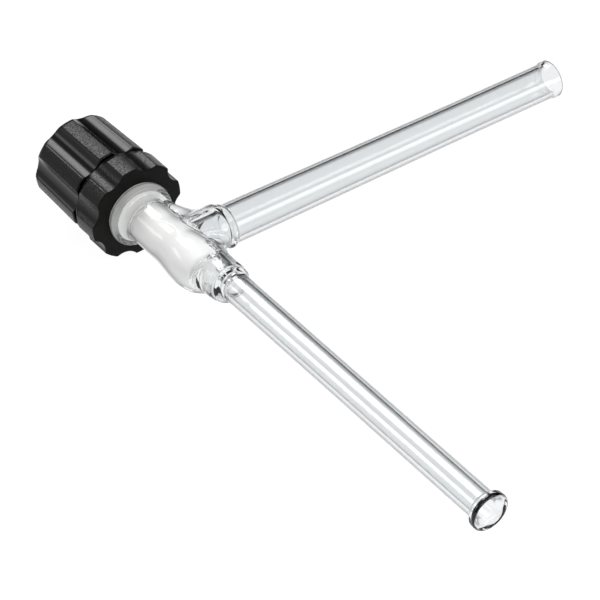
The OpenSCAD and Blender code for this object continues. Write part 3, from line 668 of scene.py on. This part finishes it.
class StopcockGlass(bpy.types.PropertyGroup):
    """Sizes of the blown glass body."""

    mouth_r: length("Mouth radius", "Outside radius of the mouth, inside the nut", 10.6)
    mouth_bore_r: length("Mouth bore", "Radius of the mouth's bore around the sleeve", 9.0)
    mouth_len: length("Mouth length", "Length of the mouth behind the collar", 8.3)
    collar_back: length("Collar place", "Distance from the side arm's axis back to the collar", 20.9)
    collar_r: length("Collar ring", "Radius of the middle of the collar's rounded edge", 9.7)
    collar_round: length("Collar rounding", "Radius of the collar's rounded edge", 1.6)
    collar_fillet: length("Collar fillet", "Radius of the fillet from the collar to the barrel", 2.2)
    collar_wall: length("Collar wall", "Thickness of the glass over the sleeve at that fillet", 1.5)
    barrel_r: length("Barrel radius", "Outside radius of the barrel", 7.55)
    bore_r: length("Bore radius", "Radius of the plunger's bore", 5.0)
    contact: length("Wetted contact", "How far the glass closes on the white parts, which touch it", 0.06)
    swell_x: length("Swelling place", "Distance from the side arm's axis to the barrel's widest place", 9.0)
    swell_h: length("Swelling height", "Height of the swelling round the seat", 1.1)
    swell_rise: length("Swelling rise", "Length over which the barrel widens", 13.0)
    swell_fall: length("Swelling fall", "Length over which the barrel closes", 10.0)
    seat_x: length("Seat place", "Distance from the side arm's axis to the seat", 13.6)
    seat_len: length("Seat length", "Length of the seat's cone", 1.4)
    seat_hole_r: length("Seat hole", "Radius of the hole below the seat", 4.4)
    chamber_r: length("Chamber radius", "Outside radius of the chamber beside the barrel", 4.7)
    chamber_hollow_r: length("Chamber hollow", "Radius of the chamber's hollow", 3.0)
    chamber_offset: length("Chamber offset", "How far the chamber lies towards the side arm", 6.0)
    port_wall: length("Port wall", "Thickness of the barrel's wall between the bore and the chamber", 1.2)
    port_r: length("Port radius", "Radius of the port from the bore into the chamber", 2.8)
    port_x: length("Port place", "Distance from the side arm's axis to the middle of the port", 9.0)
    chamber_back: length("Chamber back", "How far the chamber's hollow runs towards the knob", 11.0)
    chamber_end: length("Chamber end", "Where the chamber's outside ends", 15.0)
    neck_start: length("Neck start", "Where the neck starts inside the barrel", 12.5)
    neck_r: length("Neck radius", "Outside radius of the neck below the seat", 7.1)
    neck_bore_r: length("Neck bore", "Radius of the neck's hollow", 5.1)
    neck_offset: length("Neck offset", "How far the neck lies towards the side arm", 2.6)
    neck_hollow_x: length("Neck hollow", "Where the neck's hollow starts", 15.4)
    neck_hollow_end: length("Neck hollow end", "Where the neck's hollow ends", 23.6)
    neck_end: length("Neck end", "Where the neck starts to close", 22.5)
    shoulder_bend: length("Shoulder bend", "Distance from the neck's end to the bend in the shoulder", 3.2)
    shoulder_len: length("Shoulder length", "Length of the shoulder", 5.0)
    bend_r: length("Bend radius", "Outside radius at the bend in the shoulder", 6.5)
    arm_r: length("Outlet arm radius", "Outside radius of the outlet arm", 5.0)
    arm_bore_r: length("Outlet arm bore", "Radius of the outlet arm's bore", 3.6)
    joint_ring: length("Joint ring", "How far the joint between neck and arm narrows the bore", 0.5)
    arm_len: length("Outlet arm reach", "Distance from the side arm's axis to the outlet arm's end", 154.0)
    arm_offset: length("Outlet arm offset", "How far the outlet arm lies towards the side arm", 3.5)
    arm_lip_r: length("Outlet lip", "Outside radius of the outlet arm's lip", 6.6)
    stub_r: length("Stub radius", "Outside radius of the stub that carries the side arm", 7.6)
    stub_offset: length("Stub offset", "How far the stub lies towards the knob", 1.1)
    web: length("Corner web", "Radius of the glass in the corner between stub and barrel", 5.0)
    web_back: length("Web back", "How far from the side arm's axis the web starts, towards the knob", 18.0)
    web_end: length("Web length", "Length over which the web rises", 9.0)
    web_rise: length("Web rise", "How far the chamber's outside moves out over the web", 1.4)
    web_swell: length("Web swelling", "How much the chamber's outside widens over the web", 0.75)
    weld_y: length("Weld place", "Distance from the main axis to the weld", 18.0)
    weld_rise: length("Weld bead", "How far the bead at the weld stands out", 0.7)
    weld_ring: length("Weld ring", "How far the ring inside the weld narrows the bore", 0.5)
    side_r: length("Side arm radius", "Outside radius of the side arm at the weld", 6.8)
    side_end_r: length("Side arm end radius", "Outside radius of the side arm's parallel end", 6.2)
    side_end_len: length("Side arm end", "Length of the side arm's parallel end", 30.0)
    side_bore_r: length("Side arm bore", "Radius of the side arm's bore at its end", 4.7)
    side_len: length("Side arm reach", "Distance from the main axis to the side arm's end", 153.0)
    side_lip_r: length("Side lip", "Outside radius of the side arm's lip", 6.6)
    lip_len: length("Lip length", "Length of the lips along the arms", 2.6)
    lip_swell: length("Lip swelling", "Length over which an arm widens to its lip", 1.2)
    lip_round: length("Lip rounding", "Radius of a lip's rounded front", 0.6)
    flare_depth: length("Flare depth", "Depth of the flared mouth in each arm", 2.5)
    fire_polish: length("Fire polish", "Radius to which the flame rounds the edges", 0.65)
    cell: length("Surface spacing", "Spacing of the points on the glass", 0.46)


class StopcockGrips(bpy.types.PropertyGroup):
    """Sizes of the moulded knob and nut."""

    knob_front: length("Knob front", "Place of the knob's front, from the side arm's axis", -34.8)
    knob_len: length("Knob length", "Length of the knob", 24.7)
    knob_r: length("Knob radius", "Radius of the knob's lands next to the nut", 16.7)
    knob_end_r: length("Knob end radius", "Radius of the knob's lands at its far end", 15.95)
    knob_round: length("Knob rounding", "Rounding of the knob's far edge", 2.4)
    knob_hollow_r: length("Knob hollow", "Radius of the knob's hollow", 12.0)
    hollow_floor: length("Hollow floor", "Place of the floor of the knob's hollow", -52.5)
    web_front: length("Web front", "Place of the front of the boss on that floor", -51.0)
    web_boss_r: length("Boss radius", "Radius of that boss", 6.5)
    drive_r: length("Drive hole", "Radius round the drive in the web", 3.75)
    screw_seat: length("Screw seat", "Place of the seat of the knob's screw", -55.0)
    screw_bore_r: length("Screw bore", "Radius of the bore round the screw's head", 5.1)
    cap_r: length("Cap radius", "Radius of the cap in the knob's far end", 9.0)
    cap_t: length("Cap thickness", "Thickness of the cap", 1.2)
    nut_front: length("Nut front", "Place of the nut's front face", -22.6)
    nut_back: length("Nut back", "Place of the nut's back face", -34.2)
    nut_r: length("Nut radius", "Radius of the nut's lands", 17.0)
    nut_bore_r: length("Nut bore", "Radius of the nut's bore on the glass", 10.7)
    nut_rear_r: length("Nut rear hole", "Radius of the hole in the nut's rear wall", 8.1)
    nut_wall: length("Nut wall", "Thickness of the nut's rear wall", 2.0)
    nut_chamfer: length("Nut chamfer", "Chamfer round the nut's front face", 0.5)
    nut_shoulder_len: length("Nut shoulder length", "Length of the nut's sloping shoulder", 2.2)
    nut_shoulder_h: length("Nut shoulder height", "How far the nut narrows over its shoulder", 1.1)
    cutter: length("Scallop radius", "Radius of the scallops", 6.2)
    edge: length("Edge softness", "Width of the rounded edge between land and scallop", 0.35)
    scallops: IntProperty(name="Scallops", description="Number of scallops round each grip", default=8,
                          min=4, max=16)
    knob_scallop: angle("Knob scallop", "Angle that each scallop of the knob takes up", 28)
    knob_turn: angle("Knob turn", "Turn of the knob's lands about the main axis", 101)
    nut_scallop: angle("Nut scallop", "Angle that each scallop of the nut takes up", 26)
    nut_turn: angle("Nut turn", "Turn of the nut's lands about the main axis", 97)


class StopcockInner(bpy.types.PropertyGroup):
    """Sizes of the white plunger and sleeve."""

    plunger_r: length("Plunger radius", "Radius of the plunger", 5.0)
    plunger_top: length("Plunger top", "Place of the plunger's top", -24.0)
    plunger_tip: length("Plunger tip", "Place of the plunger's tip", 15.8)
    socket_r: length("Socket radius", "Radius of the socket in the plunger's top", 3.8)
    socket_end: length("Socket end", "Place of the socket's floor", -17.5)
    nose_r: length("Nose radius", "Radius of the plunger in the hole below the seat", 4.35)
    tip_r: length("Tip radius", "Radius of the plunger's tip", 3.65)
    sleeve_back: length("Sleeve back", "Place of the sleeve's far end", -50.0)
    sleeve_r: length("Sleeve radius", "Radius of the sleeve above the nut", 8.0)
    flange_back: length("Flange back", "Place of the back of the sleeve's flange", -31.6)
    flange_front: length("Flange front", "Place of the front of the sleeve's flange", -30.0)
    spigot_r: length("Spigot radius", "Radius of the sleeve inside the glass mouth", 9.0)
    thread_r: length("Thread bore", "Radius of the sleeve's threaded bore", 4.55)
    thread_front: length("Thread front", "Where the threaded bore starts", -37.5)


class StopcockStage(bpy.types.PropertyGroup):
    """Camera, lights and floor."""

    azimuth: angle("Azimuth", "Camera's turn round the body", 53.718)
    elevation: angle("Elevation", "Camera's height above the body's plane", 39.847)
    distance: length("Distance", "Camera's distance from the point it aims at", 1076.08)
    aim_right: length("Aim right", "How far the aim lies to the right of the body's origin", 38.779)
    aim_up: length("Aim up", "How far the aim lies above the body's origin", -16.678)
    lens: number("Lens", "Focal length in millimetres", 204.02)
    floor_size: length("Floor", "Width of the floor", 12000)
    floor_colour: FloatVectorProperty(name="Floor colour", description="Colour of the floor", subtype="COLOR",
                                      default=linear("#606060")[:3], min=0, max=1)
    floor_glow: number("Floor glow", "Brightness of the floor by itself", 0.96)
    sky: number("Room", "Brightness of the room near the horizon", 0.05)
    dome: number("Ceiling", "Brightness of the room overhead", 0.55)
    key: number("Overhead light", "Brightness of the soft box overhead", 11.0)
    fill: number("Front light", "Brightness of the soft box low in front", 0.9)
    strip: number("Strip light", "Brightness of the strip light on the left", 3.2)
    side: number("Side light", "Brightness of the soft box low at the side", 5.5)


def in_mm(group):
    """The lengths of a property group in millimetres, and its other values as they are."""
    values = type("Sizes", (), {})()
    for key, kind in group.bl_rna.properties.items():
        if key in ("rna_type", "name"):
            continue
        value = getattr(group, key)
        setattr(values, key, value / MM if getattr(kind, "unit", "") == "LENGTH" else value)
    return values


# ---------------------------------------------------------------- operators


class STOPCOCK_OT_glass(bpy.types.Operator):
    """Builds the blown glass body with its collar, chamber, neck, weld bead, arms and lips"""

    bl_idname = "stopcock.glass"
    bl_label = "Glass body"

    def execute(self, context):
        g = in_mm(context.scene.stopcock_glass)
        # close points on the body and the lips, and long steps along the plain arms
        cell, lip, long = g.cell, g.cell * 0.85, g.cell * 8
        margin = 1.0
        body_x = g.neck_end + g.shoulder_len + 3 * margin
        body_y = g.weld_y + 5 * margin
        lip_zone = g.flare_depth + g.lip_swell + 1.5 * margin
        round_z = g.collar_r + g.collar_round + margin
        back = g.collar_back + g.mouth_len + margin
        xs = graded([(-back, cell), (body_x, long),
                     (g.arm_len - lip_zone, lip), (g.arm_len + margin, lip)])
        ys = graded([(-round_z, cell), (body_y, long),
                     (g.side_len - lip_zone, lip), (g.side_len + margin, lip)])
        zs = graded([(-round_z, cell), (round_z, cell)])
        points, faces = skin(xs, ys, zs, g)
        # the points settle on the surface in a few steps, none longer than the reach
        reach, least_slope = 0.3, 0.2
        for _ in range(3):
            depth, slope = surface_slope(points, g)
            steep = np.maximum((slope**2).sum(1), least_slope)
            points -= np.clip(depth / steep, -reach, reach)[:, None] * slope
        depth, slope = surface_slope(points, g)
        normals = slope / np.linalg.norm(slope, axis=1)[:, None]
        make_piece("blown_glass_body", points, faces, "glass", [borosilicate_glass()],
                   ["glass_body"], normals=normals)
        print("glass:", len(points), "points", 2 * len(faces), "triangles")
        return {"FINISHED"}


class STOPCOCK_OT_knob(bpy.types.Operator):
    """Builds the knob with its scallops, hollow, web and screw recess"""

    bl_idname = "stopcock.knob"
    bl_label = "Knob"

    def execute(self, context):
        k = in_mm(context.scene.stopcock_grips)
        back = k.knob_front - k.knob_len
        cap_seat = back + k.cap_t
        cap_gap = 0.06
        recess_r = k.cap_r + cap_gap
        corners = [
            (k.knob_hollow_r, k.knob_front, 0.4), (k.knob_r, k.knob_front, 0.5),
            (k.knob_end_r, back, k.knob_round), (recess_r, back, 0.2),
            (recess_r, cap_seat, 0.1), (k.screw_bore_r, cap_seat, 0.2),
            (k.screw_bore_r, k.screw_seat, 0.2), (k.drive_r, k.screw_seat, 0.1),
            (k.drive_r, k.web_front, 0.2), (k.web_boss_r, k.web_front, 0.4),
            (k.web_boss_r, k.hollow_floor, 0.4), (k.knob_hollow_r, k.hollow_floor, 0.6)]
        # the scallops cut what lies outside these radii, next to the rim and behind it
        front_zone = k.knob_front - 1.2
        rim_from, grip_from = (k.knob_hollow_r + k.knob_r) / 2, k.screw_bore_r + k.cap_r

        def outer(r, x):
            if x > front_zone:
                plain = k.knob_end_r + (k.knob_r - k.knob_end_r) * (x - back) / k.knob_len
                return plain - r if r > rim_from else None
            return 0.0 if r > grip_from else None

        points, faces, marks = grip_piece(
            corners, outer, (back, k.knob_front), (k.knob_end_r, k.knob_r), math.degrees(k.knob_scallop),
            math.degrees(k.knob_turn), k.cutter, k.scallops, k.edge)
        gloss, land = moulded_black("moulded_black_polished"), moulded_black("moulded_black_eroded")
        make_piece("moulded_knob", points, faces, "knob", [land, gloss], ["knob"], marks)
        # the cap's face is dished a little below its rim
        radius, dish = k.cap_r - cap_gap, back + 0.22
        points, faces = turned_piece([
            (ON_AXIS, dish, 0), (radius - 1.6, dish, 0.5), (radius - 1.1, back, 0.25),
            (radius, back, 0.2), (radius, cap_seat, 0.1), (ON_AXIS, cap_seat, 0)], False)
        make_piece("knob_cap_disc", points, faces, "knob", [land], ["knob_cap"])
        return {"FINISHED"}


class STOPCOCK_OT_nut(bpy.types.Operator):
    """Builds the retaining nut with its scallops, chamfer and sloping shoulder"""

    bl_idname = "stopcock.nut"
    bl_label = "Retaining nut"

    def execute(self, context):
        k = in_mm(context.scene.stopcock_grips)
        shoulder = k.nut_back + k.nut_shoulder_len
        corners = [
            (k.nut_rear_r, k.nut_back, 0.3), (k.nut_rear_r, k.nut_back + k.nut_wall, 0.1),
            (k.nut_bore_r, k.nut_back + k.nut_wall, 0.2), (k.nut_bore_r, k.nut_front, 0.35),
            (k.nut_r, k.nut_front, k.nut_chamfer), (k.nut_r, shoulder, 0.8),
            (k.nut_r - k.nut_shoulder_h, k.nut_back, 0.5)]

        front_zone = k.nut_front - 1.5

        def outer(r, x):
            if r < (k.nut_bore_r + k.nut_r) / 2:
                return None
            return k.nut_r - r if x > front_zone else 0.0

        points, faces, marks = grip_piece(
            corners[::-1], outer, (k.nut_back, k.nut_front), (k.nut_r, k.nut_r), math.degrees(k.nut_scallop),
            math.degrees(k.nut_turn), k.cutter, k.scallops, k.edge)
        finishes = [moulded_black("moulded_black_nut_" + place) for place in ("land", "scallop", "face")]
        # the flat front is duller than the lands
        marks = marks.astype(int)
        marks[(points[faces][:, :, 0] > k.nut_front - k.nut_chamfer / 2).all(1)] = 2
        make_piece("moulded_retaining_nut", points, faces, "glass", finishes,
                   ["retaining_nut"], marks)
        return {"FINISHED"}


class STOPCOCK_OT_white_parts(bpy.types.Operator):
    """Builds the white plunger and threaded sleeve, and finishes the other white pieces"""

    bl_idname = "stopcock.white_parts"
    bl_label = "Plunger and sleeve"

    def execute(self, context):
        w = in_mm(context.scene.stopcock_inner)
        g = in_mm(context.scene.stopcock_glass)
        white = turned_fluoropolymer()
        seat_end = g.seat_x + g.seat_len
        points, faces = turned_piece([
            (ON_AXIS, w.plunger_tip, 0), (w.tip_r, w.plunger_tip, 0.3), (w.nose_r, seat_end, 0.2),
            (w.plunger_r, g.seat_x - 0.05, 0.2), (w.plunger_r, w.plunger_top, 0.4),
            (w.socket_r, w.plunger_top, 0.2), (w.socket_r, w.socket_end, 0.1), (ON_AXIS, w.socket_end, 0)],
            False, around=256)
        make_piece("turned_plunger", points, faces, "plunger", [white], ["plunger"])
        nose, rod_r = collar_hollow(g), w.plunger_r + 0.05
        points, faces = turned_piece([
            (w.thread_r, w.sleeve_back, 0.3), (w.sleeve_r, w.sleeve_back, 0.5),
            (w.sleeve_r, w.flange_back, 0.1), (g.mouth_r, w.flange_back, 0.2),
            (g.mouth_r, w.flange_front, 0.2), (w.spigot_r, w.flange_front, 0.1),
            *((r, x, 0.05) for x, r in nose), (rod_r, nose[-1][0] + 0.05, 0.1),
            (rod_r, w.thread_front, 0.1), (w.thread_r, w.thread_front, 0.1)][::-1],
            True, around=256)
        make_piece("turned_sleeve", points, faces, "glass", [white],
                   ["threaded_sleeve"])
        for name in ("slip_washer", "retainer_half_upper", "retainer_half_lower"):
            finish_node(name, white)
        return {"FINISHED"}


def finish_node(name, material):
    """Gives a CAD node that keeps its shape its finish."""
    node = frame["nodes"][name]
    node.data.materials.clear()
    node.data.materials.append(material)


class STOPCOCK_OT_hardware(bpy.types.Operator):
    """Finishes the seals and the steel pieces, which keep their CAD shape"""

    bl_idname = "stopcock.hardware"
    bl_label = "Seals and steel"

    def execute(self, context):
        rubber, silicone, steel = seal_rubber(), milky_silicone(), turned_steel()
        for name in ("mouth_gasket", "mouth_o_ring"):
            finish_node(name, silicone)
        for name in ("rod_o_ring_front", "rod_o_ring_rear"):
            finish_node(name, rubber)
        for name in ("thrust_washer", "drive_screw", "knob_washer", "knob_screw"):
            finish_node(name, steel)
        return {"FINISHED"}


def soft_box(tree, way, toward, wide, tall, level, under):
    """Adds a soft box's brightness to what is under it. It fills some degrees each way from its middle."""
    across = Vector((0, 0, 1)).cross(toward).normalized()
    inside = level
    for axis, half in ((across, wide), (toward.cross(across), tall)):
        along = add_node(tree, "ShaderNodeVectorMath", {0: way, 1: tuple(axis)}, operation="DOT_PRODUCT")
        off = add_node(tree, "ShaderNodeMath", {0: along.outputs["Value"]}, operation="ABSOLUTE").outputs[0]
        # full over the box, and fading softly past its edge
        reach = math.sin(math.radians(half))
        share = add_node(tree, "ShaderNodeMapRange", {
            "Value": off, "From Min": reach * 0.7, "From Max": reach * 1.15, "To Min": 1.0, "To Max": 0.0},
            interpolation_type="SMOOTHSTEP").outputs["Result"]
        inside = add_node(tree, "ShaderNodeMath", {0: inside, 1: share}, operation="MULTIPLY").outputs[0]
    facing = add_node(tree, "ShaderNodeVectorMath", {0: way, 1: tuple(toward)}, operation="DOT_PRODUCT")
    front = add_node(tree, "ShaderNodeMath", {
        0: facing.outputs["Value"], 1: 0.0}, operation="GREATER_THAN").outputs[0]
    inside = add_node(tree, "ShaderNodeMath", {0: inside, 1: front}, operation="MULTIPLY").outputs[0]
    if under is None:
        return inside
    return add_node(tree, "ShaderNodeMath", {0: inside, 1: under}, operation="ADD").outputs[0]


class STOPCOCK_OT_stage(bpy.types.Operator):
    """Sets up the camera, the floor, the white surroundings and the soft lights"""

    bl_idname = "stopcock.stage"
    bl_label = "Stage"

    def execute(self, context):
        s = context.scene.stopcock_stage
        scene = context.scene
        # camera, placed in the body's own axes
        az, el = s.azimuth, s.elevation
        right = np.array([math.cos(az), math.sin(az), 0])
        ahead = np.array([-math.sin(az) * math.cos(el), math.cos(az) * math.cos(el), -math.sin(el)])
        up = np.cross(right, ahead)
        place = s.aim_right * right + s.aim_up * up - s.distance * ahead
        camera = bpy.data.objects.new("camera", bpy.data.cameras.new("camera"))
        scene.collection.objects.link(camera)
        turn = AXES @ np.column_stack([right, up, -ahead])
        stand = Matrix.Translation(Vector(AXES @ place + ORIGIN))
        camera.matrix_world = stand @ Matrix(turn.tolist()).to_4x4()
        camera.data.lens, camera.data.sensor_width = s.lens, 36
        camera.data.clip_start, camera.data.clip_end = 0.05, 50
        scene.camera = camera
        # floor
        half = s.floor_size / 2
        mesh = bpy.data.meshes.new("floor")
        corners = [(-half, -half, 0), (half, -half, 0), (half, half, 0), (-half, half, 0)]
        mesh.from_pydata(corners, [], [(0, 1, 2, 3)])
        mesh.materials.append(opal_floor(list(s.floor_colour), s.floor_glow))
        floor = bpy.data.objects.new("floor", mesh)
        scene.collection.objects.link(floor)
        # surroundings: a dim room with far soft lights overhead, on the left, low in front and on the right
        world = bpy.data.worlds.new("white_studio")
        scene.world = world
        world.use_nodes = True
        tree = world.node_tree
        tree.nodes.clear()
        way = add_node(tree, "ShaderNodeTexCoord").outputs["Generated"]
        light = None
        for toward, wide, tall, level in (
            ((-0.58, 0.15, 0.79), 15, 12, s.key),
            ((-0.62, -0.6, 0.5), 12, 6, s.strip),
            ((-0.4, -0.85, 0.3), 30, 18, s.fill),
            ((0.89, 0.2, 0.25), 30, 12, s.side),
        ):
            light = soft_box(tree, way, Vector(toward).normalized(), wide, tall, level, light)
        height = add_node(tree, "ShaderNodeSeparateXYZ", {0: way}).outputs["Z"]
        dome = add_node(tree, "ShaderNodeMapRange", {
            "Value": height, "From Min": 0.2, "From Max": 0.8, "To Min": s.sky, "To Max": s.dome},
            interpolation_type="SMOOTHSTEP").outputs["Result"]
        lit = add_node(tree, "ShaderNodeMath", {0: light, 1: dome}, operation="ADD").outputs[0]
        sky = add_node(tree, "ShaderNodeBackground", {"Strength": lit})
        add_node(tree, "ShaderNodeOutputWorld", {"Surface": sky.outputs[0]})
        scene.view_settings.view_transform = "Standard"
        return {"FINISHED"}


class STOPCOCK_PT_panel(bpy.types.Panel):
    """Lists the pieces of the stopcock and its stage"""

    bl_label = "Glass stopcock"
    bl_idname = "STOPCOCK_PT_panel"
    bl_space_type = "VIEW_3D"
    bl_region_type = "UI"
    bl_category = "Stopcock"

    def draw(self, context):
        for operator in PIECES:
            self.layout.operator(operator.bl_idname)
        for group in (context.scene.stopcock_glass, context.scene.stopcock_grips,
                      context.scene.stopcock_inner, context.scene.stopcock_stage):
            box = self.layout.box()
            for key in group.bl_rna.properties.keys():
                if key not in ("rna_type", "name"):
                    box.prop(group, key)


PIECES = (
    STOPCOCK_OT_stage,
    STOPCOCK_OT_glass,
    STOPCOCK_OT_knob,
    STOPCOCK_OT_nut,
    STOPCOCK_OT_white_parts,
    STOPCOCK_OT_hardware,
)
GROUPS = {
    "stopcock_glass": StopcockGlass,
    "stopcock_grips": StopcockGrips,
    "stopcock_inner": StopcockInner,
    "stopcock_stage": StopcockStage,
}


def register():
    for name, group in GROUPS.items():
        bpy.utils.register_class(group)
        setattr(bpy.types.Scene, name, PointerProperty(type=group))
    for operator in PIECES:
        bpy.utils.register_class(operator)
    bpy.utils.register_class(STOPCOCK_PT_panel)


def unregister():
    bpy.utils.unregister_class(STOPCOCK_PT_panel)
    for operator in reversed(PIECES):
        bpy.utils.unregister_class(operator)
    for name, group in GROUPS.items():
        delattr(bpy.types.Scene, name)
        bpy.utils.unregister_class(group)


def main():
    register()
    for piece in ("stage", "glass", "knob", "nut", "white_parts", "hardware"):
        getattr(bpy.ops.stopcock, piece)()
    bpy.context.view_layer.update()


if __name__ == "__main__":
    main()
